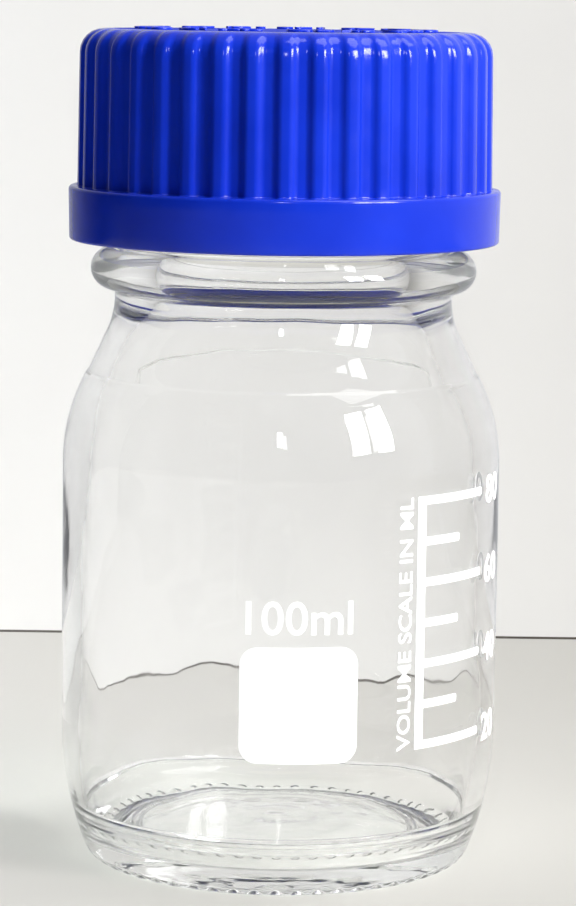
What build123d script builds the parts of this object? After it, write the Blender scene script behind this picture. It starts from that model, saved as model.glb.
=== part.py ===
"""100 ml laboratory reagent bottle with a GL 45 screw cap, pouring ring and seal disc.

Millimetres, +Z up, with the origin on the bottle's axis in the plane it stands on. The
printed side faces -Y. Angles round the bottle are counted from -Y towards +X.
"""
from build123d import *

import os
from math import cos, radians, sin, sqrt

# ---- driving dimensions -------------------------------------------------------------
BODY_R = 28.0  # outside radius of the glass body
GLASS_TOP = 100.0  # height of the glass rim
CAP_TOP = 106.0  # height of the cap's flat top
WALL_FOOT, WALL_TOP = 2.1, 3.4  # glass wall at the foot and at the top of the straight body
PITCH = 4.0  # GL 45 thread, right hand

# glass: base and heel
PUSH_UP = 3.0  # rise of the underside at its centre
BEARING_R, BEARING_STEP = 21.9, 1.0  # inner edge of the flat ring it stands on, and its step
HEEL_TOP, HEEL_ARC = 17.0, 42.0  # the heel is an arc that meets the straight body here
HEEL_EDGE = 2.0
STIPPLES, STIPPLE_R = 58, 0.8  # dimples moulded round the standing edge
STIPPLE_RING_R, STIPPLE_Z = 24.2, 0.25
FLOOR_EDGE, FLOOR_CENTRE = 2.4, 5.2  # height of the inside floor at the wall and in the middle
INNER_HEEL = 5.5
INNER_SEAM = 15.0  # eases the bend inside the shoulder

# glass: shoulder, neck and retaining bead
SHOULDER_FOOT, SHOULDER_ARC = 51.0, 24.0
SEAM_Z, SEAM_STEP = 62.4, 0.3  # small step where two parts of the mould met
NECK_R, NECK_FOOT, NECK_ARC = 21.5, 69.9, 11.0
BEAD_Z, BEAD_CENTRE_R, BEAD_ARC = 75.8, 22.0, 2.6
BORE_R, BORE_FOOT, BORE_ARC = 16.0, 74.5, 8.0

# glass: thread, snap groove and rim
ROOT_R, CREST_R = 20.7, 22.35
THREAD_Z, THREAD_TURNS, THREAD_ANGLE = 83.6, 1.75, 137.0  # start height, turns, start angle
THREAD_FOOT, THREAD_TIP = 2.6, 1.2  # the ridge's height along the axis, at its foot and tip
RIM_R, RIM_ROUND = 20.2, 1.5
GROOVE_R, GROOVE_LOW, GROOVE_HIGH, GROOVE_SLOPE = 19.8, 94.2, 95.4, 0.4

# pouring ring
RING_GAP = 0.05  # clearance on the glass
SLEEVE_R, SLEEVE_LOW, RING_CHAMFER = 21.0, 94.4, 0.25
LIP_R, LIP_TOP, LIP_EDGE, LIP_UNDERCUT = 20.5, 102.3, 0.5, 0.9
FLANGE = 1.1  # thickness over the glass rim
SPOUT_R, SPOUT_LOW = 15.0, 96.5

# seal disc
SEAL_R, SEAL_LOW, SEAL_HIGH, SEAL_EDGE = 21.4, 102.4, 103.9, 0.15

# screw cap
CAP_FOOT, BAND_TOP = 79.4, 86.2
BAND_R, BAND_BORE, BAND_DEPTH, BAND_DRAFT, BAND_ROUND = 27.5, 25.3, 3.4, 0.15, 0.5
RIBS, RIB_WIDTH, RIB_R, VALLEY_R = 40, 2.1, 26.15, 25.45
CAP_ROUND = 3.0
CAP_ROOT_R, CAP_CREST_R = 22.95, 21.35
CAP_THREAD_FOOT, CAP_THREAD_TIP, CAP_THREAD_ANGLE = 2.2, 1.0, 283.0
THREAD_PLAY = 0.1  # the closed cap pulls up against the underside of the glass ridge
PLATE = 2.0  # thickness of the flat top
SEAT_R, SNAP_R, SNAP_Z, SNAP_LAND = 21.65, 21.25, 101.95, 0.3  # seal's seat, and its snap bead
MARKS, MARK_RING_R, MARK_DEPTH, MARK_WIDTH, MARK_RAISE = 12, 18.4, 2.6, 5.0, 0.3  # on the top

# fired enamel print
INK = 0.08
PANEL_ANGLE, PANEL_Z = 5.2, 24.8
PANEL_WIDTH, PANEL_HEIGHT, PANEL_ROUND = 14.6, 14.4, 2.2
CAPACITY_Z, CAPACITY_SIZE, CAPACITY_STROKE, CAPACITY_NARROW = 35.7, 5.0, 0.6, 0.83
SCALE_ANGLE, SCALE_BAR = 36.9, 2.7  # start of the scale's upright bar, and its arc
TICKS = 6  # steps of 10 ml from 20 ml up to 80 ml
TICK_LOW, TICK_STEP, TICK_HEIGHT = 18.9, 5.07, 1.05
LONG_TICK, SHORT_TICK = 26.6, 15.3  # arcs of the ticks

BURY = 0.4  # how deep the foot of a thread goes into its wall


def facing(angle, z):
    """Plane on the axis that looks outwards at this angle round the bottle."""
    a = radians(angle)
    return Plane(origin=(0, 0, z), x_dir=(cos(a), sin(a), 0), z_dir=(sin(a), -cos(a), 0))


def upright(angle):
    """Plane that holds the axis, its x pointing outwards at this angle and its y up."""
    a = radians(angle)
    return Plane(origin=(0, 0, 0), x_dir=(sin(a), -cos(a), 0), z_dir=(-cos(a), -sin(a), 0))


def reach(arc, drop):
    """How far an arc reaches out from its centre at this height off its widest point."""
    return sqrt(arc**2 - drop**2)


def round_corner(profile, r, z, radius):
    """Rounds the corner of a profile that lies nearest this radius and height."""
    fillet(profile.vertices().sort_by_distance(Vector(r, z))[0], radius)


def thread_ridge(root, crest, foot, tip, start_z, start_angle):
    """A right-hand screw ridge that stands on a wall of radius root, foot buried in it."""
    outward = 1 if crest > root else -1
    depth = abs(crest - root)
    with BuildPart() as ridge:
        with BuildLine() as path:
            Helix(pitch=PITCH, height=PITCH * THREAD_TURNS, radius=root, center=(0, 0, start_z))
        with BuildSketch(Plane(path.line @ 0, x_dir=(outward, 0, 0), z_dir=path.line % 0)):
            with BuildLine():
                Polyline(
                    (-BURY, -foot / 2),
                    (0, -foot / 2),
                    (depth, -tip / 2),
                    (depth, tip / 2),
                    (0, foot / 2),
                    (-BURY, foot / 2),
                    close=True,
                )
            make_face()
        sweep(path=path.line, is_frenet=True)
    return ridge.part.rotate(Axis.Z, start_angle)


def enamel(artwork):
    """Bends flat artwork onto the glass: each of its shapes, cut from the thin ink layer."""
    shapes = artwork.sketch.faces()
    with BuildPart() as print_layer:
        add([Solid.extrude(shape, shape.normal_at() * BODY_R * 2) & ink_layer.part for shape in shapes])
    return print_layer


def finish(piece, name):
    """Labels a sub-part and writes its STEP file."""
    piece.part.label = name
    export_step(piece.part, f"parts/{name}.step")


os.makedirs("parts", exist_ok=True)

# ---- glass bottle -------------------------------------------------------------------
heel_centre = BODY_R - HEEL_ARC
heel_foot = heel_centre + reach(HEEL_ARC, HEEL_TOP)
shoulder_centre = BODY_R - SHOULDER_ARC
seam_drop = SEAM_Z - SHOULDER_FOOT
seam_mid = SHOULDER_FOOT + seam_drop / 2
seam_r = shoulder_centre + reach(SHOULDER_ARC, seam_drop)
foot_inside_r, top_inside_r = BODY_R - WALL_FOOT, BODY_R - WALL_TOP
inside_heel_arc = HEEL_ARC - WALL_FOOT
inside_heel_mid = (HEEL_TOP - FLOOR_EDGE) / 2
floor_r = heel_centre + reach(inside_heel_arc, HEEL_TOP - FLOOR_EDGE)
inside_arc = SHOULDER_ARC - WALL_TOP
inside_seam_r = shoulder_centre + reach(inside_arc, seam_drop)
bead_low = BEAD_Z - reach(BEAD_ARC, BEAD_CENTRE_R - NECK_R)
bead_high = BEAD_Z + reach(BEAD_ARC, BEAD_CENTRE_R - ROOT_R)

glass_thread = thread_ridge(ROOT_R, CREST_R, THREAD_FOOT, THREAD_TIP, THREAD_Z, THREAD_ANGLE)

with BuildPart() as dimples:
    with Locations((0, 0, STIPPLE_Z)):
        with PolarLocations(STIPPLE_RING_R, STIPPLES):
            Sphere(STIPPLE_R)

with BuildPart() as bottle_glass:
    with BuildSketch(Plane.XZ) as wall:
        with BuildLine():
            TangentArc((0, PUSH_UP), (BEARING_R - BEARING_STEP, BEARING_STEP), tangent=(1, 0))
            Polyline(
                (BEARING_R - BEARING_STEP, BEARING_STEP),
                (BEARING_R, 0),
                (heel_foot, 0),
            )
            ThreePointArc(
                (heel_foot, 0),
                (heel_centre + reach(HEEL_ARC, HEEL_TOP / 2), HEEL_TOP / 2),
                (BODY_R, HEEL_TOP),
            )
            Line((BODY_R, HEEL_TOP), (BODY_R, SHOULDER_FOOT))
            ThreePointArc(
                (BODY_R, SHOULDER_FOOT),
                (shoulder_centre + reach(SHOULDER_ARC, seam_drop / 2), seam_mid),
                (seam_r, SEAM_Z),
            )
            Polyline(
                (seam_r, SEAM_Z),
                (seam_r - SEAM_STEP, SEAM_Z + SEAM_STEP),
                (NECK_R, NECK_FOOT),
                (NECK_R, bead_low),
            )
            ThreePointArc(
                (NECK_R, bead_low),
                (BEAD_CENTRE_R + BEAD_ARC, BEAD_Z),
                (ROOT_R, bead_high),
            )
            Polyline(
                (ROOT_R, bead_high),
                (ROOT_R, GROOVE_LOW - GROOVE_SLOPE),
                (GROOVE_R, GROOVE_LOW),
                (GROOVE_R, GROOVE_HIGH),
                (RIM_R, GROOVE_HIGH + GROOVE_SLOPE),
                (RIM_R, GLASS_TOP),
                (BORE_R, GLASS_TOP),
                (BORE_R, BORE_FOOT),
                (inside_seam_r, SEAM_Z),
            )
            ThreePointArc(
                (inside_seam_r, SEAM_Z),
                (shoulder_centre + reach(inside_arc, seam_drop / 2), seam_mid),
                (top_inside_r, SHOULDER_FOOT),
            )
            Line((top_inside_r, SHOULDER_FOOT), (foot_inside_r, HEEL_TOP))
            ThreePointArc(
                (foot_inside_r, HEEL_TOP),
                (heel_centre + reach(inside_heel_arc, inside_heel_mid), HEEL_TOP - inside_heel_mid),
                (floor_r, FLOOR_EDGE),
            )
            TangentArc((0, FLOOR_CENTRE), (floor_r, FLOOR_EDGE), tangent=(1, 0))
            Line((0, FLOOR_CENTRE), (0, PUSH_UP))
        make_face()
        round_corner(wall, heel_foot, 0, HEEL_EDGE)
        round_corner(wall, NECK_R, NECK_FOOT, NECK_ARC)
        round_corner(wall, RIM_R, GLASS_TOP, RIM_ROUND)
        round_corner(wall, BORE_R, GLASS_TOP, RIM_ROUND)
        round_corner(wall, BORE_R, BORE_FOOT, BORE_ARC)
        round_corner(wall, inside_seam_r, SEAM_Z, INNER_SEAM)
        round_corner(wall, floor_r, FLOOR_EDGE, INNER_HEEL)
    revolve(axis=Axis.Z)
    add(glass_thread)
    add(dimples.part, mode=Mode.SUBTRACT)
finish(bottle_glass, "bottle_glass")

# ---- pouring ring, snapped over the glass rim ---------------------------------------
sleeve_bore = RIM_R + RING_GAP
snap_bore = GROOVE_R + RING_GAP
spout_outside = BORE_R - RING_GAP
seat_z = GLASS_TOP + RING_GAP
flange_z = seat_z + FLANGE

with BuildPart() as pouring_ring:
    with BuildSketch(Plane.XZ):
        with BuildLine():
            Polyline(
                (SLEEVE_R, SLEEVE_LOW),
                (SLEEVE_R, flange_z - LIP_EDGE),
                (SLEEVE_R - LIP_EDGE, flange_z),
                (LIP_R - LIP_UNDERCUT, flange_z),
                (LIP_R, LIP_TOP),
                (LIP_R - LIP_EDGE, LIP_TOP),
                (BORE_R + LIP_EDGE, flange_z),
                (SPOUT_R, flange_z - LIP_UNDERCUT * 2),
                (SPOUT_R, SPOUT_LOW),
                (spout_outside, SPOUT_LOW),
                (spout_outside, seat_z),
                (sleeve_bore, seat_z),
                (sleeve_bore, GROOVE_HIGH + GROOVE_SLOPE),
                (snap_bore, GROOVE_HIGH),
                (snap_bore, SLEEVE_LOW + RING_CHAMFER),
                (snap_bore + RING_CHAMFER, SLEEVE_LOW),
                close=True,
            )
        make_face()
    revolve(axis=Axis.Z)
finish(pouring_ring, "pouring_ring")

# ---- seal disc inside the cap -------------------------------------------------------
with BuildPart() as seal_liner:
    with BuildSketch(Plane.XY.offset(SEAL_LOW)):
        Circle(SEAL_R)
    extrude(amount=SEAL_HIGH - SEAL_LOW)
    chamfer(seal_liner.edges(), SEAL_EDGE)
finish(seal_liner, "seal_liner")

# ---- screw cap ----------------------------------------------------------------------
plate_low = CAP_TOP - PLATE
snap_step = SEAT_R - SNAP_R
band_slope = BAND_BORE - CAP_ROOT_R

cap_thread_z = THREAD_Z + PITCH * (CAP_THREAD_ANGLE - THREAD_ANGLE) / 360 - PITCH / 2 + THREAD_PLAY
cap_thread = thread_ridge(
    CAP_ROOT_R, CAP_CREST_R, CAP_THREAD_FOOT, CAP_THREAD_TIP, cap_thread_z, CAP_THREAD_ANGLE
)

with BuildPart() as screw_cap:
    with BuildSketch(Plane.XZ) as shell:
        with BuildLine():
            Polyline(
                (0, CAP_TOP),
                (RIB_R, CAP_TOP),
                (RIB_R, BAND_TOP),
                (BAND_R, BAND_TOP),
                (BAND_R - BAND_DRAFT, CAP_FOOT),
                (BAND_BORE, CAP_FOOT),
                (BAND_BORE, CAP_FOOT + BAND_DEPTH - band_slope),
                (CAP_ROOT_R, CAP_FOOT + BAND_DEPTH),
                (CAP_ROOT_R, SNAP_Z - SNAP_LAND - CAP_ROOT_R + SNAP_R),
                (SNAP_R, SNAP_Z - SNAP_LAND),
                (SNAP_R, SNAP_Z),
                (SEAT_R, SNAP_Z + snap_step),
                (SEAT_R, plate_low),
                (0, plate_low),
                close=True,
            )
        make_face()
        round_corner(shell, RIB_R, CAP_TOP, CAP_ROUND)
        round_corner(shell, BAND_R, BAND_TOP, BAND_ROUND)
    revolve(axis=Axis.Z)
    with BuildSketch(Plane.XY.offset(BAND_TOP)):
        Circle(BAND_R)
        Circle(VALLEY_R, mode=Mode.SUBTRACT)
        with PolarLocations(VALLEY_R, RIBS):
            Rectangle(BAND_R - VALLEY_R, RIB_WIDTH, mode=Mode.SUBTRACT)
    extrude(amount=CAP_TOP - BAND_TOP, mode=Mode.SUBTRACT)
    add(cap_thread)
    with BuildSketch(Plane.XY.offset(CAP_TOP)):
        with PolarLocations(MARK_RING_R, MARKS):
            RectangleRounded(MARK_DEPTH, MARK_WIDTH, MARK_DEPTH / 4)
    extrude(amount=MARK_RAISE)
finish(screw_cap, "screw_cap")

# ---- fired enamel print -------------------------------------------------------------
with BuildPart() as ink_layer:
    with BuildSketch(Plane.XY.offset(HEEL_TOP)):
        Circle(BODY_R + INK)
        Circle(BODY_R, mode=Mode.SUBTRACT)
    extrude(amount=SHOULDER_FOOT - HEEL_TOP)

with BuildSketch(facing(PANEL_ANGLE, PANEL_Z)) as panel_art:
    RectangleRounded(PANEL_WIDTH, PANEL_HEIGHT, PANEL_ROUND)
finish(enamel(panel_art), "writing_panel")

with BuildSketch(facing(PANEL_ANGLE, CAPACITY_Z)) as capacity_art:
    Text("100 ml", CAPACITY_SIZE, font="singleline", single_line_width=CAPACITY_STROKE)
    scale(by=(CAPACITY_NARROW, 1, 1))
finish(enamel(capacity_art), "capacity_mark")

scale_height = TICK_STEP * TICKS
with BuildPart() as graduation_scale:
    with BuildSketch(upright(SCALE_ANGLE)):
        with Locations((BODY_R + INK / 2, TICK_LOW + scale_height / 2)):
            Rectangle(INK, scale_height + TICK_HEIGHT)
    revolve(axis=Axis.Z, revolution_arc=SCALE_BAR)
    for level in range(TICKS + 1):
        with BuildSketch(upright(SCALE_ANGLE)):
            with Locations((BODY_R + INK / 2, TICK_LOW + TICK_STEP * level)):
                Rectangle(INK, TICK_HEIGHT)
        revolve(axis=Axis.Z, revolution_arc=SHORT_TICK if level % 2 else LONG_TICK)
finish(graduation_scale, "graduation_scale")
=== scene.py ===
"""Looks for the 100 ml reagent bottle: clear glass, blue screw cap, white fired print.

Lengths named in capitals are millimetres in the CAD's own frame: +Z up, printed side to -Y.
Angles round the bottle are counted from -Y towards +X, in degrees.
"""

import math

import bmesh
import bpy
import numpy as np
from mathutils import Matrix, Vector


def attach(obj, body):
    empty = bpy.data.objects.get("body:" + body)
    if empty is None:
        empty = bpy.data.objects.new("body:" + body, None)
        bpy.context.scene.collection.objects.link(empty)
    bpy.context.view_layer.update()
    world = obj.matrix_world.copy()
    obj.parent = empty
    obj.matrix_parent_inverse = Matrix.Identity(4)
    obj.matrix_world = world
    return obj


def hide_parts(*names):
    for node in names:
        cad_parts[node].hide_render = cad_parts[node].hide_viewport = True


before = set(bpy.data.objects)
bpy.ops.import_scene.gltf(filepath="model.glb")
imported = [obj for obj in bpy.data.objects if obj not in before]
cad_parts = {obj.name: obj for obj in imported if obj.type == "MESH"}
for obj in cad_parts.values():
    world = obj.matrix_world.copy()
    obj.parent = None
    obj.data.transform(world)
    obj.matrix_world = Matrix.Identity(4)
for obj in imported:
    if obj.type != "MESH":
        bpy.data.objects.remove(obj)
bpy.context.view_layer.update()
MM = 0.001

# ---- sizes: those the looks share with the CAD, then those of the looks alone --------
BODY_R, GLASS_TOP, CAP_TOP = 28.0, 100.0, 106.0
WALL_FOOT, WALL_TOP, PITCH = 2.1, 3.4, 4.0

# base and heel
PUSH_UP, BEARING_R, BEARING_STEP = 3.0, 21.9, 1.0
HEEL_TOP, HEEL_ARC, HEEL_EDGE = 17.0, 42.0, 2.0
FLOOR_EDGE, FLOOR_CENTRE, INNER_HEEL, INNER_SEAM = 2.4, 5.2, 5.5, 15.0
STIPPLES, STIPPLE_R, STIPPLE_RING_R, STIPPLE_Z = 58, 0.8, 24.2, 0.25
FOOT_INNER, FOOT_OUTER, FOOT_HIGH = 22.9, 25.6, 2.2  # the band of glass that has the dimples

# shoulder, neck and bead
SHOULDER_FOOT, SHOULDER_ARC, SEAM_Z, SEAM_STEP = 51.0, 24.0, 62.4, 0.3
NECK_R, NECK_FOOT, NECK_ARC = 21.5, 69.9, 11.0
BEAD_Z, BEAD_CENTRE_R, BEAD_ARC = 75.8, 22.0, 2.6
BORE_R, BORE_FOOT, BORE_ARC = 16.0, 74.5, 8.0

# glass thread, groove and rim
ROOT_R, CREST_R = 20.7, 22.35
THREAD_Z, THREAD_TURNS, THREAD_ANGLE = 83.6, 1.75, 227.0
THREAD_FOOT, THREAD_TIP = 2.6, 1.2
RIM_R, RIM_ROUND = 20.2, 1.5
GROOVE_R, GROOVE_LOW, GROOVE_HIGH, GROOVE_SLOPE = 19.8, 94.2, 95.4, 0.4

# pouring ring and seal
SLEEVE_R, SLEEVE_LOW, SLEEVE_BORE, SNAP_BORE, RING_CHAMFER = 21.0, 94.4, 20.25, 19.85, 0.25
FLANGE_LOW, FLANGE_TOP = 100.05, 101.15
LIP_R, LIP_TOP, LIP_EDGE, LIP_UNDERCUT = 20.5, 102.3, 0.45, 0.9
SPOUT_R, SPOUT_OUTSIDE, SPOUT_LOW, SPOUT_TOP = 15.0, 15.95, 96.5, 99.35
SEAL_R, SEAL_LOW, SEAL_HIGH = 21.4, 102.4, 103.9

# cap
CAP_FOOT, BAND_TOP, BAND_R, BAND_BORE, BAND_DEPTH, BAND_DRAFT = 79.4, 86.2, 27.5, 25.3, 3.4, 0.15
RIBS, RIB_R, VALLEY_R, RIB_HALF, RIB_FLANK, RIB_DRAFT = 40, 26.15, 25.45, 1.05, 0.7, 0.25
CAP_ROOT_R, CAP_CREST_R, CAP_THREAD_ANGLE, THREAD_PLAY = 22.95, 21.35, 13.0, 0.1
CAP_THREAD_FOOT, CAP_THREAD_TIP = 2.2, 1.0
SNAP_R, SNAP_Z, SNAP_LAND, SEAT_R, PLATE_LOW, MARK_RAISE = 21.25, 101.95, 0.3, 21.65, 104.0, 0.3

# print
PANEL_ANGLE, PANEL_Z, PANEL_WIDTH, PANEL_HEIGHT, PANEL_ROUND = 5.2, 24.8, 14.6, 14.4, 2.2
SCALE_ANGLE, SCALE_BAR, LONG_TICK, SHORT_TICK = 36.9, 2.7, 26.6, 15.3  # degrees
TICKS, TICK_LOW, TICK_STEP, TICK_HEIGHT = 6, 18.9, 5.07, 1.05
NUMERAL_ANGLE, NUMERAL_HEIGHT, CAPTION_ANGLE = 72.0, 3.6, 35.3
INK_BASE, INK_TOP = -0.03, 0.07  # the print's two faces, over the body's radius
CAPITAL_HEIGHT = 0.72  # of this typeface's capitals and digits, for a size of 1

# what only the looks have
POLE_R = 1e-6  # a profile point nearer the axis than this is on it
INNER_RIPPLE = 0.06  # unevenness of the glass inside
MATT_R = 22.5  # the textured disc in the middle of the cap's top
THREAD_FADE = 18  # degrees over which each end of a thread runs out


# ---- mesh tools ---------------------------------------------------------------------
def arc(centre, radius, start, end, steps):
    """Points of an arc about centre, from one angle to another in degrees from +r."""
    angles = np.radians(np.linspace(start, end, steps))
    return [(centre[0] + radius * math.cos(a), centre[1] + radius * math.sin(a), 0) for a in angles]


def reach(radius, drop):
    """How far an arc reaches out from its centre at this height off its widest point."""
    return math.sqrt(radius**2 - drop**2)


def dome(rim_r, rim_z, centre_z, steps):
    """Points of a shallow spherical dome, from its middle out towards its rim, rim left out."""
    sag = centre_z - rim_z
    radius = (rim_r**2 + sag**2) / (2 * sag)
    spots = rim_r * np.arange(steps) / steps
    return [(r, centre_z - radius + math.sqrt(radius**2 - r**2), 0) for r in spots]


def rounded(corners, closed=False, steps=6):
    """A profile of (r, z) points from corners given as (r, z, rounding radius)."""
    points = []
    count = len(corners)
    for i, (r, z, radius) in enumerate(corners):
        at_end = not closed and i in (0, count - 1)
        if radius == 0 or at_end:
            points.append((r, z))
            continue
        here = np.array((r, z))
        back = np.array(corners[i - 1][:2]) - here
        ahead = np.array(corners[(i + 1) % count][:2]) - here
        back /= np.linalg.norm(back)
        ahead /= np.linalg.norm(ahead)
        half = math.acos(np.clip(back @ ahead, -1, 1)) / 2
        leg = radius / math.tan(half)
        middle = here + (back + ahead) / np.linalg.norm(back + ahead) * radius / math.sin(half)
        first, last = here + back * leg - middle, here + ahead * leg - middle
        turn = math.atan2(first[0] * last[1] - first[1] * last[0], first @ last)
        for t in np.linspace(0, turn, steps):
            turning = np.array(((math.cos(t), -math.sin(t)), (math.sin(t), math.cos(t))))
            points.append(tuple(middle + turning @ first))
    return points


def between(a, b, t):
    """The point this far along the way from a to b, t from 0 to 1."""
    return tuple(np.array(a) * (1 - t) + np.array(b) * t)


def divided(points, longest, closed=False):
    """The same profile with no step longer than this."""
    out = []
    ring = points + points[:1] if closed else points
    for a, b in zip(ring, ring[1:]):
        parts = max(1, math.ceil(math.dist(a, b) / longest))
        out += [between(a, b, k / parts) for k in range(parts)]
    return out if closed else out + [points[-1]]


def lathe(name, profile, columns, bend=None, closed=False, fine=None):
    """A solid of revolution. bend(row, angle, r, z) moves points, and where fine(r, z) is true
    a row has 3 times as many columns."""
    rows = np.array(profile, float)
    many = [columns * 3 if fine is not None and fine(*p) else columns for p in profile]
    many = [n if r > POLE_R else 1 for (r, _), n in zip(profile, many)]
    verts, starts = [], []
    for row, ((r, z), n) in enumerate(zip(rows, many)):
        starts.append(len(verts))
        if n == 1:
            verts.append((0, 0, z))
            continue
        angle = np.arange(n) * 2 * math.pi / n
        rr, zz = np.full(n, r), np.full(n, z)
        if bend is not None:
            rr, zz = bend(row, angle, rr, zz)
        verts += list(zip(rr * np.sin(angle), -rr * np.cos(angle), zz))
    faces = []
    count = len(rows)
    for i in range(count if closed else count - 1):
        j = (i + 1) % count
        faces += strip(starts[i], many[i], starts[j], many[j])
    return mesh_object(name, np.array(verts) * MM, faces)


def strip(a, many_a, b, many_b):
    """Faces between two rows of points whose counts are equal, 1 (a pole) or 3 to 1."""
    if many_a == many_b:
        return [(a + k, a + (k + 1) % many_a, b + (k + 1) % many_b, b + k) for k in range(many_a)]
    if many_a == 1:
        return [(a, b + (k + 1) % many_b, b + k) for k in range(many_b)]
    if many_b == 1:
        return [(a + k, a + (k + 1) % many_a, b) for k in range(many_a)]
    if many_a < many_b:
        return [
            (a + k, a + (k + 1) % many_a, *(b + (3 * k + s) % many_b for s in (3, 2, 1, 0)))
            for k in range(many_a)
        ]
    return [
        (*(a + (3 * k + s) % many_a for s in range(4)), b + (k + 1) % many_b, b + k)
        for k in range(many_b)
    ]


def mesh_object(name, verts, faces):
    """A smooth-shaded object with its normals facing outwards."""
    mesh = bpy.data.meshes.new(name)
    mesh.from_pydata([tuple(v) for v in verts], [], faces)
    mesh.validate()
    work = bmesh.new()
    work.from_mesh(mesh)
    bmesh.ops.recalc_face_normals(work, faces=work.faces)
    work.to_mesh(mesh)
    work.free()
    mesh.polygons.foreach_set("use_smooth", [True] * len(mesh.polygons))
    made = bpy.data.objects.new(name, mesh)
    bpy.context.scene.collection.objects.link(made)
    return made


def smoothstep(x):
    """0 up to x = 0 and 1 from x = 1, with a soft rise between."""
    x = np.clip(x, 0, 1)
    return x * x * (3 - 2 * x)


def ridge_height(angle, z, foot, tip, start_z, start_angle):
    """How high a thread's ridge stands here, from 0 to 1, with ends that fade out."""
    height = np.zeros_like(z)
    for turn in range(math.ceil(THREAD_TURNS)):
        along = np.degrees(angle) - start_angle + 360 * (turn + 1)
        along = np.where(np.degrees(angle) >= start_angle, along - 360, along)
        centre = start_z + PITCH * along / 360
        flank = smoothstep((foot / 2 - np.abs(z - centre)) / (foot / 2 - tip / 2))
        to_end = 360 * THREAD_TURNS - along
        ends = smoothstep(along / THREAD_FADE) * smoothstep(to_end / THREAD_FADE)
        height = np.maximum(height, flank * ends)
    return height


# ---- material tools -----------------------------------------------------------------
class Nodes:
    """The node tree of a material or world, with shorthands for what the looks are made of."""

    def __init__(self, owner):
        owner.use_nodes = True
        self.tree = owner.node_tree
        self.shader = self.tree.nodes.get("Principled BSDF")
        self.output = self.tree.nodes.get("Material Output")

    def link(self, source, target):
        self.tree.links.new(source, target)

    def node(self, kind, **settings):
        """A new node, with these inputs or properties set."""
        new = self.tree.nodes.new(kind)
        for key, value in settings.items():
            if key in new.inputs:
                new.inputs[key].default_value = value
            else:
                setattr(new, key, value)
        return new

    def noise(self, scale, detail, stretch=(1, 1, 1)):
        """Noise over the row frame's own coordinates, scale in features per metre."""
        place = self.node("ShaderNodeTexCoord")
        mapping = self.node("ShaderNodeMapping", Scale=stretch)
        self.link(place.outputs["Object"], mapping.inputs["Vector"])
        texture = self.node("ShaderNodeTexNoise", Scale=scale, Detail=detail)
        self.link(mapping.outputs["Vector"], texture.inputs["Vector"])
        return texture.outputs["Fac"]

    def mapped(self, source, start, end, first=0.0, last=1.0):
        """Maps a value between start and end to one between first and last."""
        span = self.node("ShaderNodeMapRange")
        span.inputs["From Min"].default_value = start
        span.inputs["From Max"].default_value = end
        span.inputs["To Min"].default_value = first
        span.inputs["To Max"].default_value = last
        self.link(source, span.inputs["Value"])
        return span.outputs["Result"]

    def tones(self, source, first, last, start=0.35, end=0.65):
        """Maps a value between start and end to a run between two colours."""
        colours = self.node("ShaderNodeValToRGB")
        low, high = colours.color_ramp.elements
        low.position, high.position = start, end
        low.color, high.color = (*first, 1), (*last, 1)
        self.link(source, colours.inputs["Fac"])
        return colours.outputs["Color"]

    def colour(self, source, first, last):
        """Gives the shader a colour that a noise varies between these two."""
        self.link(self.tones(source, first, last), self.shader.inputs["Base Color"])

    def roughness(self, source, low, high):
        """Gives the shader a roughness that a noise varies between these two."""
        self.link(self.mapped(source, 0.3, 0.7, low, high), self.shader.inputs["Roughness"])

    def bump(self, source, strength, distance):
        """Gives the shader relief, distance in metres."""
        relief = self.node("ShaderNodeBump", Strength=strength, Distance=distance)
        self.link(source, relief.inputs["Height"])
        self.link(relief.outputs["Normal"], self.shader.inputs["Normal"])

    def see_through(self, amount, tint=(1, 1, 1)):
        """Makes the surface plainly transparent by this amount."""
        clear = self.node("ShaderNodeBsdfTransparent", Color=(*tint, 1))
        mix = self.node("ShaderNodeMixShader")
        self.link(amount, mix.inputs["Fac"])
        self.link(self.shader.outputs["BSDF"], mix.inputs[1])
        self.link(clear.outputs["BSDF"], mix.inputs[2])
        self.link(mix.outputs["Shader"], self.output.inputs["Surface"])


def glass_material():
    """Clear borosilicate with faint ripple and handling marks; lamps shine through it."""
    made = bpy.data.materials.new("clear_glass")
    nodes = Nodes(made)
    nodes.shader.inputs["Base Color"].default_value = (1, 1, 1, 1)
    nodes.shader.inputs["IOR"].default_value = 1.473
    nodes.shader.inputs["Transmission Weight"].default_value = 1.0
    nodes.roughness(nodes.noise(160, 3), 0.0, 0.035)
    nodes.bump(nodes.noise(80, 3, (1, 1, 0.5)), 0.3, 0.00025)
    depth = nodes.node("ShaderNodeVolumeAbsorption", Density=6.0, Color=(0.50, 0.54, 0.53, 1))
    nodes.link(depth.outputs["Volume"], nodes.output.inputs["Volume"])
    path = nodes.node("ShaderNodeLightPath")
    nodes.see_through(path.outputs["Is Shadow Ray"], (0.94, 0.955, 0.95))
    return made


def plastic_material(name, dark, light, smooth, rough, shine=0.35, grain=0.00003):
    """Moulded polypropylene: slight tone changes, satin gloss, fine moulding grain."""
    made = bpy.data.materials.new(name)
    nodes = Nodes(made)
    nodes.shader.inputs["IOR"].default_value = 1.49
    nodes.shader.inputs["Specular IOR Level"].default_value = shine
    nodes.colour(nodes.noise(55, 5), dark, light)
    nodes.roughness(nodes.noise(420, 6), smooth, rough)
    nodes.bump(nodes.noise(2600, 3), 0.12, grain)
    return made


def enamel_material():
    """Opaque white fired enamel, slightly grainy."""
    made = bpy.data.materials.new("white_enamel")
    nodes = Nodes(made)
    grain = nodes.noise(1500, 5)
    nodes.colour(grain, (0.93, 0.94, 0.94), (0.97, 0.97, 0.97))
    nodes.roughness(nodes.noise(500, 4), 0.35, 0.6)
    nodes.bump(grain, 0.15, 0.00002)
    return made


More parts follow.
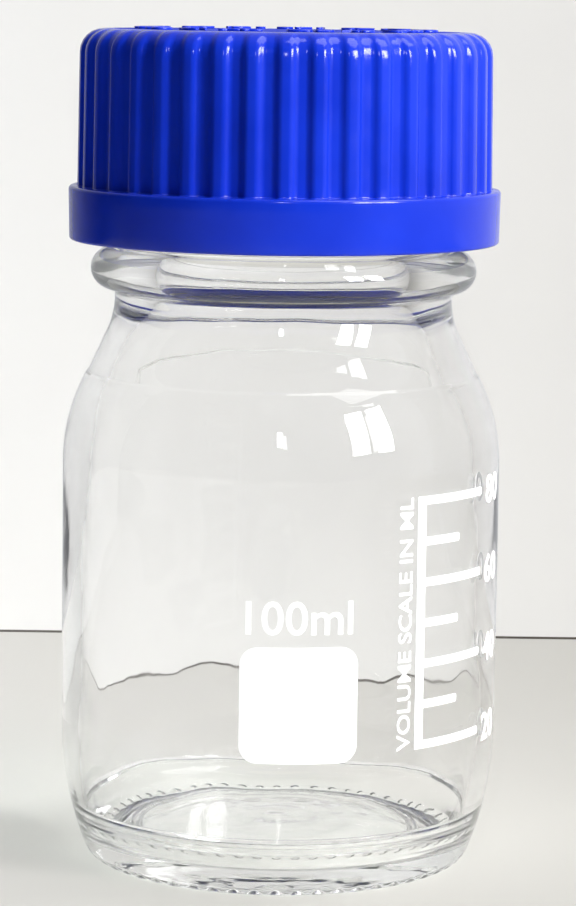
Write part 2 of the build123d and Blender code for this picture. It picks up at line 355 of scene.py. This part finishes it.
def seal_material():
    """Pale silicone, matt and faintly mottled."""
    made = bpy.data.materials.new("seal_silicone")
    nodes = Nodes(made)
    mottle = nodes.noise(300, 5)
    nodes.colour(mottle, (0.62, 0.58, 0.52), (0.74, 0.71, 0.66))
    nodes.roughness(mottle, 0.45, 0.65)
    nodes.bump(nodes.noise(1800, 3), 0.15, 0.00003)
    return made


def stage_material(name, left, right, rough):
    """A pale surface, a little cloudy, with painted light and shade: it runs from its brighter left
    colour to its darker right one, as light falls across it.
    It can't be seen from behind, so any view stays clear."""
    made = bpy.data.materials.new(name)
    nodes = Nodes(made)
    place = nodes.node("ShaderNodeTexCoord")
    axes = nodes.node("ShaderNodeSeparateXYZ")
    nodes.link(place.outputs["Object"], axes.inputs["Vector"])
    cloudy = nodes.node("ShaderNodeMath", operation="MULTIPLY_ADD")
    nodes.link(nodes.noise(9, 6), cloudy.inputs[0])
    cloudy.inputs[1].default_value = 0.3
    # painted light and shade: the colour follows X, lighter on the left and darker on the right
    nodes.link(nodes.mapped(axes.outputs["X"], -0.12, 0.12), cloudy.inputs[2])
    run = nodes.tones(cloudy.outputs["Value"], left, right, 0.15, 1.0)
    nodes.link(run, nodes.shader.inputs["Base Color"])
    nodes.shader.inputs["Roughness"].default_value = rough
    nodes.shader.inputs["Specular IOR Level"].default_value = 0.1
    side = nodes.node("ShaderNodeNewGeometry")
    nodes.see_through(side.outputs["Backfacing"])
    return made


# ---- glass bottle -------------------------------------------------------------------
GLASS_COLUMNS = STIPPLES * 4
GLASS_RIDGE = (THREAD_FOOT, THREAD_TIP, THREAD_Z, THREAD_ANGLE)


def glass_profile():
    """From the middle of the underside, out, up the outside, over the rim and down inside."""
    heel_centre = (BODY_R - HEEL_ARC, HEEL_TOP)
    shoulder_centre = (BODY_R - SHOULDER_ARC, SHOULDER_FOOT)
    inside_arc = SHOULDER_ARC - WALL_TOP
    inside_heel = HEEL_ARC - WALL_FOOT
    seam_angle = math.degrees(math.asin((SEAM_Z - SHOULDER_FOOT) / SHOULDER_ARC))
    inside_seam = math.degrees(math.asin((SEAM_Z - SHOULDER_FOOT) / inside_arc))
    seam_r = shoulder_centre[0] + reach(SHOULDER_ARC, SEAM_Z - SHOULDER_FOOT)
    heel_start = -math.degrees(math.asin(HEEL_TOP / HEEL_ARC))
    heel_foot = heel_centre[0] + reach(HEEL_ARC, HEEL_TOP)
    floor_r = heel_centre[0] + reach(inside_heel, HEEL_TOP - FLOOR_EDGE)
    bead_low = BEAD_Z - reach(BEAD_ARC, BEAD_CENTRE_R - NECK_R)
    bead_high = BEAD_Z + reach(BEAD_ARC, BEAD_CENTRE_R - ROOT_R)
    step_r = BEARING_R - BEARING_STEP

    underside = dome(step_r, BEARING_STEP, PUSH_UP, 6)
    underside += [(step_r, BEARING_STEP, 1.0), (BEARING_R, 0, 0.8), (heel_foot, 0, HEEL_EDGE)]

    body = arc(heel_centre, HEEL_ARC, heel_start + 2.6, 0, 14)
    body += arc(shoulder_centre, SHOULDER_ARC, 0, seam_angle - 0.8, 14)
    body += [(seam_r, SEAM_Z, 0.25), (seam_r - SEAM_STEP, SEAM_Z + SEAM_STEP, 0.3)]

    neck = [(NECK_R, NECK_FOOT, NECK_ARC), (NECK_R, bead_low, 0.7)]
    neck += arc((BEAD_CENTRE_R, BEAD_Z), BEAD_ARC, -78, 98, 16)
    neck += [(ROOT_R, bead_high, 0.6), (ROOT_R, GROOVE_LOW - 0.5, 0.2), (GROOVE_R, GROOVE_LOW, 0.2)]
    neck += [(GROOVE_R, GROOVE_HIGH, 0.2), (RIM_R, GROOVE_HIGH + GROOVE_SLOPE, 0.2)]
    neck += [(RIM_R, GLASS_TOP, RIM_ROUND), (BORE_R, GLASS_TOP, RIM_ROUND)]
    neck += [(BORE_R, BORE_FOOT, BORE_ARC)]

    inside = arc(shoulder_centre, inside_arc, inside_seam, 0, 8)
    inside[0] = (*inside[0][:2], INNER_SEAM)
    inside += arc(heel_centre, inside_heel, 0, -14.5, 7)
    inside += [(floor_r, FLOOR_EDGE, INNER_HEEL)]
    inside += dome(floor_r, FLOOR_EDGE, FLOOR_CENTRE, 5)[::-1]
    return divided(rounded(underside + body + neck + inside, steps=10), 1.3)


def in_foot(r, z):
    """True on the rows that carry the dimples of the standing edge."""
    return FOOT_INNER < r < FOOT_OUTER and z < FOOT_HIGH


glass_rows = glass_profile()
rim_row = max(range(len(glass_rows)), key=lambda i: glass_rows[i][1])


def glass_bend(row, angle, r, z):
    """Thread and dimples outside, and the soft unevenness of moulded glass inside."""
    if row > rim_row:
        ripple = np.sin(3 * angle + z / 9) + 0.7 * np.sin(5 * angle - z / 6 + 2)
        ripple += 0.35 * np.sin(11 * angle + z / 4) + 0.2 * np.sin(17 * angle - z / 3)
        return r + INNER_RIPPLE * ripple * smoothstep(r / 10), z
    if in_foot(r[0], z[0]):
        step = 2 * math.pi / STIPPLES
        across = (np.mod(angle + step / 2, step) - step / 2) * STIPPLE_RING_R
        gap = np.sqrt(across**2 + (r - STIPPLE_RING_R) ** 2 + (z - STIPPLE_Z) ** 2)
        push = np.maximum(0, STIPPLE_R - gap)
        return r - push * 0.6, z + push * 0.8
    if THREAD_Z - 3 < z[0] < THREAD_Z + 11:
        height = ridge_height(angle, z, *GLASS_RIDGE)
        return r + (CREST_R - ROOT_R) * height, z
    return r, z


bottle = lathe("glass_body", glass_rows, GLASS_COLUMNS, bend=glass_bend, fine=in_foot)
bottle.data.materials.append(glass_material())
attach(bottle, "bottle")
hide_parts("bottle_glass")


# ---- pouring ring and seal ----------------------------------------------------------
def ring_profile():
    """The drip-free ring: sleeve outside the rim, flange over it, raised lip and short spout."""
    flange = [(SLEEVE_R, SLEEVE_LOW, 0.2), (SLEEVE_R, FLANGE_TOP - 0.5, 0.4)]
    flange += [(LIP_R, FLANGE_TOP, 0.3), (LIP_R - LIP_UNDERCUT, FLANGE_TOP, 0.4)]
    lip = [(LIP_R, LIP_TOP, 0.12), (LIP_R - LIP_EDGE, LIP_TOP, 0.12)]
    spout = [(BORE_R + 0.5, FLANGE_TOP, 1.5), (SPOUT_R, SPOUT_TOP, 1.5), (SPOUT_R, SPOUT_LOW, 0.25)]
    spout += [(SPOUT_OUTSIDE, SPOUT_LOW, 0.25), (SPOUT_OUTSIDE, FLANGE_LOW, 0.3)]
    sleeve = [(SLEEVE_BORE, FLANGE_LOW, 0.3), (SLEEVE_BORE, GROOVE_HIGH + GROOVE_SLOPE, 0.1)]
    sleeve += [(SNAP_BORE, GROOVE_HIGH, 0.1), (SNAP_BORE, SLEEVE_LOW + RING_CHAMFER, 0.1)]
    sleeve += [(SNAP_BORE + RING_CHAMFER, SLEEVE_LOW, 0.1)]
    outline = rounded(flange + lip + spout + sleeve, closed=True, steps=5)
    return divided(outline, 0.8, closed=True)


ring = lathe("pour_ring", ring_profile(), 240, closed=True)
ring_blue = plastic_material("ring_plastic", (0.012, 0.05, 0.42), (0.02, 0.075, 0.5), 0.3, 0.42)
ring.data.materials.append(ring_blue)
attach(ring, "bottle")
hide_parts("pouring_ring")

seal_corners = [(0, SEAL_LOW, 0), (SEAL_R, SEAL_LOW, 0.12)]
seal_corners += [(SEAL_R, SEAL_HIGH, 0.3), (0, SEAL_HIGH, 0)]
seal = lathe("seal_disc", divided(rounded(seal_corners), 1.5), 160)
seal.data.materials.append(seal_material())
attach(seal, "seal")
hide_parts("seal_liner")

# ---- screw cap ----------------------------------------------------------------------
CAP_COLUMNS = RIBS * 12
ahead = (CAP_THREAD_ANGLE - THREAD_ANGLE) % 360  # of the glass thread's start, in degrees
CAP_THREAD_Z = THREAD_Z + PITCH * ahead / 360 - PITCH / 2 + THREAD_PLAY
CAP_RIDGE = (CAP_THREAD_FOOT, CAP_THREAD_TIP, CAP_THREAD_Z, CAP_THREAD_ANGLE)


def cap_outline(side_r, top_round):
    """From the middle of the top, out, down the outside, under the band and up inside."""
    outside = [(0, CAP_TOP, 0), (16, CAP_TOP, 0), (side_r, CAP_TOP, top_round)]
    outside += [(side_r + RIB_DRAFT, BAND_TOP, 0.2), (BAND_R - 0.02, BAND_TOP, 0.45)]
    outside += [(BAND_R - BAND_DRAFT, CAP_FOOT, 0.35)]
    inside = [(BAND_BORE, CAP_FOOT, 0.35), (BAND_BORE, CAP_FOOT + 1.05, 0.8)]
    inside += [(CAP_ROOT_R, CAP_FOOT + BAND_DEPTH, 0.5), (CAP_ROOT_R, GLASS_TOP, 0.5)]
    inside += [(SNAP_R, SNAP_Z - SNAP_LAND, 0.15), (SNAP_R, SNAP_Z, 0.15)]
    inside += [(SEAT_R, SNAP_Z + SEAT_R - SNAP_R, 0.2), (SEAT_R, PLATE_LOW, 0.3), (0, PLATE_LOW, 0)]
    return rounded(outside + inside, steps=7)


def cap_rows():
    """Matching rows along the crest of a rib and along a valley, split at the same places."""
    crest, valley = cap_outline(RIB_R, 3.0), cap_outline(VALLEY_R, 2.6)
    pairs = []
    for k in range(len(crest) - 1):
        threaded = 82 < crest[k][1] < 101 and crest[k][0] < CAP_ROOT_R + 0.1
        longest = 0.28 if threaded else 1.3
        parts = max(1, math.ceil(math.dist(crest[k], crest[k + 1]) / longest))
        for t in np.arange(parts) / parts:
            pairs.append([between(line[k], line[k + 1], t) for line in (crest, valley)])
    return pairs + [[crest[-1], valley[-1]]]


cap_pairs = cap_rows()


def cap_bend(row, angle, r, z):
    """Ribs outside, running out on the rounded top, and the thread inside."""
    (crest_r, crest_z), (valley_r, valley_z) = cap_pairs[row]
    if crest_r != valley_r:
        pitch = 2 * math.pi / RIBS
        off = np.abs(np.mod(angle + pitch / 2, pitch) - pitch / 2) * RIB_R
        crown = smoothstep((RIB_HALF + RIB_FLANK / 2 - off) / RIB_FLANK)
        crown = crown * (1 - 0.12 * (off / RIB_HALF) ** 2 * (off < RIB_HALF))
        return valley_r + (crest_r - valley_r) * crown, valley_z + (crest_z - valley_z) * crown
    if r[0] < CAP_ROOT_R + 0.1 and 81 < z[0] < 95:
        height = ridge_height(angle, z, *CAP_RIDGE)
        return r - (CAP_ROOT_R - CAP_CREST_R) * height, z
    return r, z


cap = lathe("ribbed_cap", [pair[0] for pair in cap_pairs], CAP_COLUMNS, bend=cap_bend)
blue = plastic_material("cap_plastic", (0.004, 0.023, 0.43), (0.007, 0.033, 0.53), 0.1, 0.2)
cap.data.materials.append(blue)
deep, bright = (0.004, 0.023, 0.40), (0.007, 0.033, 0.50)
cap.data.materials.append(plastic_material("cap_top", deep, bright, 0.6, 0.7, 0.2, 0.0001))
for face in cap.data.polygons:
    if face.center.z > (CAP_TOP - 0.01) * MM and face.center.xy.length < MATT_R * MM:
        face.material_index = 1
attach(cap, "cap")
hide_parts("screw_cap")


# ---- lettering and print ------------------------------------------------------------
def flat_text(words, height, width, weight):
    """Letters as a flat closed mesh in millimetres, centred across, standing on y = 0."""
    curve = bpy.data.curves.new("letters", "FONT")
    curve.body = words
    curve.size = 1.0
    curve.extrude = 0.5
    curve.offset = weight
    curve.resolution_u = 4
    shape = bpy.data.objects.new("letters", curve)
    bpy.context.scene.collection.objects.link(shape)
    bpy.context.view_layer.update()
    solved = shape.evaluated_get(bpy.context.evaluated_depsgraph_get())
    mesh = bpy.data.meshes.new_from_object(solved)
    bpy.data.objects.remove(shape)
    bpy.data.curves.remove(curve)
    work = bmesh.new()
    work.from_mesh(mesh)
    bpy.data.meshes.remove(mesh)
    bmesh.ops.remove_doubles(work, verts=work.verts, dist=1e-5)
    xs = [v.co.x for v in work.verts]
    tall = height / CAPITAL_HEIGHT
    wide = width / (max(xs) - min(xs))
    middle = (max(xs) + min(xs)) / 2
    for v in work.verts:
        v.co = Vector(((v.co.x - middle) * wide, v.co.y * tall, v.co.z))
    return work


def flat_plate(work, outline):
    """Adds a flat closed plate with this outline of (x, y) points to the work."""
    low, high = ([work.verts.new((x, y, z)) for x, y in outline] for z in (-0.5, 0.5))
    work.faces.new(low)
    work.faces.new(high)
    for k in range(len(outline)):
        work.faces.new((low[k - 1], low[k], high[k], high[k - 1]))


def rectangle(x0, y0, x1, y1, radius, steps, square_left=False):
    """Outline of a rectangle with rounded corners, or with only its right end rounded."""
    points = []
    for cx, cy, start in ((x1, y1, 0), (x0, y1, 90), (x0, y0, 180), (x1, y0, 270)):
        if square_left and cx == x0:
            points.append((cx, cy))
            continue
        inx = cx - radius if cx == x1 else cx + radius
        iny = cy - radius if cy == y1 else cy + radius
        points += [p[:2] for p in arc((inx, iny), radius, start, start + 90, steps)]
    return points


def sliced(work, spacing):
    """Cuts flat work at even steps across its length, so that it can be bent."""
    most = math.floor(max(abs(v.co.x) for v in work.verts) / spacing)
    for k in range(-most, most + 1):
        parts = list(work.verts) + list(work.edges) + list(work.faces)
        spot = Vector((k * spacing, 0, 0))
        bmesh.ops.bisect_plane(work, geom=parts, plane_co=spot, plane_no=(1, 0, 0), dist=1e-6)


def finished(work, name, place):
    """Moves each point with place(x, y, z) in millimetres and makes the object."""
    for v in work.verts:
        v.co = Vector(place(*v.co)) * MM
    bmesh.ops.recalc_face_normals(work, faces=work.faces)
    mesh = bpy.data.meshes.new(name)
    work.to_mesh(mesh)
    work.free()
    made = bpy.data.objects.new(name, mesh)
    bpy.context.scene.collection.objects.link(made)
    return made


def on_glass(angle, height, upward=False):
    """Wraps flat work round the body with its origin at this angle and height."""

    def place(x, y, z):
        if upward:
            x, y = -y, x
        a = math.radians(angle) + x / BODY_R
        r = BODY_R + INK_BASE + (z + 0.5) * (INK_TOP - INK_BASE)
        return r * math.sin(a), -r * math.cos(a), height + y

    return place


def on_cap(angle, radius):
    """Bends flat work round the top of the cap, tops of the letters towards the middle."""

    def place(x, y, z):
        a = math.radians(angle) + x / radius
        r = radius + CAP_WORD_HEIGHT / 2 - y
        return r * math.sin(a), -r * math.cos(a), CAP_TOP - 0.1 + (z + 0.5) * (MARK_RAISE + 0.1)

    return place


enamel = enamel_material()


def printed(work, name, place, node_name=None):
    """One printed piece: bent onto the body, in enamel, standing for its CAD node."""
    sliced(work, 0.5)
    piece = finished(work, name, place)
    piece.data.materials.append(enamel)
    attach(piece, "bottle")
    if node_name:
        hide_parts(node_name)


panel = bmesh.new()
half_wide, half_high = PANEL_WIDTH / 2, PANEL_HEIGHT / 2
flat_plate(panel, rectangle(-half_wide, -half_high, half_wide, half_high, PANEL_ROUND, 10))
printed(panel, "panel_print", on_glass(PANEL_ANGLE, PANEL_Z), "writing_panel")
capacity_spot = on_glass(PANEL_ANGLE, PANEL_Z + half_high + 1.6)
printed(flat_text("100ml", 4.2, 13.2, 0.01), "capacity_print", capacity_spot, "capacity_mark")

scale_work = bmesh.new()
scale_top = TICK_LOW + TICK_STEP * TICKS
bar = math.radians(SCALE_BAR) * BODY_R
for level in range(TICKS + 1):
    y = TICK_LOW + TICK_STEP * level
    long = math.radians(SHORT_TICK if level % 2 else LONG_TICK) * BODY_R
    low, high = y - TICK_HEIGHT / 2, y + TICK_HEIGHT / 2
    flat_plate(scale_work, rectangle(bar, low, long, high, 0.3, 4, square_left=True))
bar_low, bar_high = TICK_LOW - TICK_HEIGHT / 2, scale_top + TICK_HEIGHT / 2
flat_plate(scale_work, rectangle(0, bar_low, bar, bar_high, 0.05, 2))
printed(scale_work, "scale_print", on_glass(SCALE_ANGLE, 0), "graduation_scale")
for level in range(0, TICKS + 1, 2):
    number = str(20 + 10 * level)
    spot = on_glass(NUMERAL_ANGLE, TICK_LOW + TICK_STEP * level - NUMERAL_HEIGHT / 2)
    printed(flat_text(number, NUMERAL_HEIGHT, 5.2, 0.012), "numeral_" + number, spot)
caption_spot = on_glass(CAPTION_ANGLE, (TICK_LOW + scale_top) / 2, upward=True)
printed(flat_text("VOLUME SCALE IN ML", 1.95, 31.4, 0.012), "caption_print", caption_spot)

CAP_WORDS = (("GL 45", 11.0), ("140 \N{DEGREE SIGN}C", 12.5), ("PP", 5.0))
CAP_WORD_R, CAP_WORD_HEIGHT, CAP_WORD_TURNS = 17.9, 2.6, 3  # the words go round three times
lettered = CAP_WORD_TURNS * sum(width for _, width in CAP_WORDS)
clear_arc = (2 * math.pi * CAP_WORD_R - lettered) / (CAP_WORD_TURNS * len(CAP_WORDS))
turned = 0.0
for place, (words, width) in enumerate(CAP_WORDS * CAP_WORD_TURNS):
    letters = flat_text(words, CAP_WORD_HEIGHT, width, 0.012)
    sliced(letters, 0.6)
    spot = on_cap(math.degrees((turned + width / 2) / CAP_WORD_R), CAP_WORD_R)
    mark = finished(letters, "cap_mark_%d" % place, spot)
    mark.data.materials.append(blue)
    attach(mark, "cap")
    turned += width + clear_arc

# ---- stage and light ----------------------------------------------------------------
# GAP is the height of the dark strip of painted shade at the foot of the wall
WALL_Y, GAP, STAGE_REACH = 148.0, 0.35, 900.0
FLOOR_Z = -0.05  # just clear of the glass that stands on it


def stage_sheet(name, line, materials):
    """A wide sheet that follows this line of (y, z) points, one material for each stretch."""
    verts = [(x * MM, y * MM, z * MM) for x in (-STAGE_REACH, STAGE_REACH) for y, z in line]
    count = len(line)
    faces = [(k, k + count, k + count + 1, k + 1) for k in range(count - 1)]
    mesh = bpy.data.meshes.new(name)
    mesh.from_pydata(verts, [], faces)
    mesh.polygons.foreach_set("material_index", range(count - 1))
    made = bpy.data.objects.new(name, mesh)
    for look in materials:
        mesh.materials.append(look)
    bpy.context.scene.collection.objects.link(made)
    return made


# painted light and shade: each stage sheet is given a lighter left colour and a darker right one
floor_look = stage_material("floor", (0.62, 0.613, 0.588), (0.46, 0.45, 0.42), 0.8)
# painted shade: a dark strip at the foot of the wall stands in for the shadow in the gap between
# floor and wall
gap_shade_look = stage_material("gap", (0.16, 0.15, 0.14), (0.07, 0.06, 0.05), 0.9)
wall_look = stage_material("wall", (0.82, 0.82, 0.81), (0.62, 0.612, 0.595), 0.8)
stage_sheet("floor", [(-STAGE_REACH, FLOOR_Z), (WALL_Y, FLOOR_Z)], [floor_look])
wall_line = [(WALL_Y, FLOOR_Z), (WALL_Y, GAP), (WALL_Y, STAGE_REACH)]
wall = stage_sheet("wall", wall_line, [gap_shade_look, wall_look])
wall.visible_glossy = False  # the bottle's gloss mirrors the room's light, not the wall


def soft_light(name, place, aim, width, height, power, spread=180):
    """A rectangular lamp at place, facing aim, in millimetres, watts and degrees of spread."""
    lamp = bpy.data.lights.new(name, "AREA")
    lamp.shape = "RECTANGLE"
    lamp.size = width * MM
    lamp.size_y = height * MM
    lamp.energy = power
    lamp.spread = math.radians(spread)
    made = bpy.data.objects.new(name, lamp)
    made.location = Vector(place) * MM
    made.rotation_euler = (Vector(aim) - Vector(place)).to_track_quat("-Z", "Y").to_euler()
    bpy.context.scene.collection.objects.link(made)


for pane in (-1, 1):
    spot = Vector((560, -470, 370)) + Vector((0.64, 0.77, 0)) * 88 * pane
    soft_light("window_pane_%d" % pane, spot, (0, 0, 60), 130, 330, 0.52, 60)
soft_light("far_window", (-10, -680, 330), (0, 0, 60), 34, 110, 0.5)
soft_light("ceiling", (350, -60, 850), (40, 60, 0), 600, 600, 4.6)


def room_light():
    """A pale room. Matt and glossy surfaces find it dim in front on the left, like a dark corner,
    and light that leaves through glass finds it dim high up in front."""
    world = bpy.data.worlds.new("room")
    nodes = Nodes(world)
    place = nodes.node("ShaderNodeTexCoord")
    path = nodes.node("ShaderNodeLightPath")

    def towards(direction, start, end, first, last):
        """Colour that runs from first to last as a ray turns towards this direction."""
        along = nodes.node("ShaderNodeVectorMath", operation="DOT_PRODUCT")
        nodes.link(place.outputs["Generated"], along.inputs[0])
        along.inputs[1].default_value = direction
        return mixed(nodes.mapped(along.outputs["Value"], start, end), first, last)

    def mixed(amount, first, last):
        """Mix of two colours, each a value or a socket."""
        mix = nodes.node("ShaderNodeMixRGB")
        nodes.link(amount, mix.inputs["Fac"])
        for colour, socket in ((first, mix.inputs["Color1"]), (last, mix.inputs["Color2"])):
            if isinstance(colour, tuple):
                socket.default_value = (*colour, 1)
            else:
                nodes.link(colour, socket)
        return mix.outputs["Color"]

    either = nodes.node("ShaderNodeMath", operation="MAXIMUM")
    nodes.link(path.outputs["Is Diffuse Ray"], either.inputs[0])
    nodes.link(path.outputs["Is Glossy Ray"], either.inputs[1])
    plain = (0.82, 0.82, 0.81)
    lit = towards((0.70, 0.62, 0.35), -0.4, 1.0, (0.0, 0.0, 0.005), (0.85, 0.86, 0.90))
    through = towards((0.0, -0.75, 0.66), 0.6, 0.95, plain, (0.16, 0.16, 0.17))
    seen = mixed(path.outputs["Is Transmission Ray"], plain, through)
    colour = mixed(either.outputs["Value"], seen, lit)
    nodes.link(colour, nodes.tree.nodes["Background"].inputs["Color"])
    bpy.context.scene.world = world


room_light()

view = bpy.context.scene.view_settings
view.view_transform = "Standard"
view.look = "None"
bpy.context.scene.cycles.use_denoising = True
bpy.context.scene.cycles.max_bounces = 32
bpy.context.scene.cycles.glossy_bounces = 32
bpy.context.scene.cycles.transmission_bounces = 32
bpy.context.scene.cycles.transparent_max_bounces = 32

# ---- camera -------------------------------------------------------------------------
LENS, TILT, ROLL = 134.2, 6.98, 0.76
CAMERA_Y, CAMERA_Z, SHIFT_X, SHIFT_Y = -430.3, 110.2, 0.0069, -0.0470
camera = bpy.data.objects.new("camera", bpy.data.cameras.new("camera"))
camera.data.sensor_fit = "AUTO"
camera.data.sensor_width = 36.0
camera.data.lens = LENS
camera.data.shift_x = SHIFT_X
camera.data.shift_y = SHIFT_Y
camera.location = (0, CAMERA_Y * MM, CAMERA_Z * MM)
tilted, rolled = (math.radians(angle) for angle in (90 - TILT, ROLL))
look = Matrix.Rotation(tilted, 4, "X") @ Matrix.Rotation(rolled, 4, "Z")
camera.rotation_euler = look.to_euler()
camera.data.dof.use_dof = False
camera.data.clip_start = 0.01
bpy.context.scene.collection.objects.link(camera)
bpy.context.scene.camera = camera
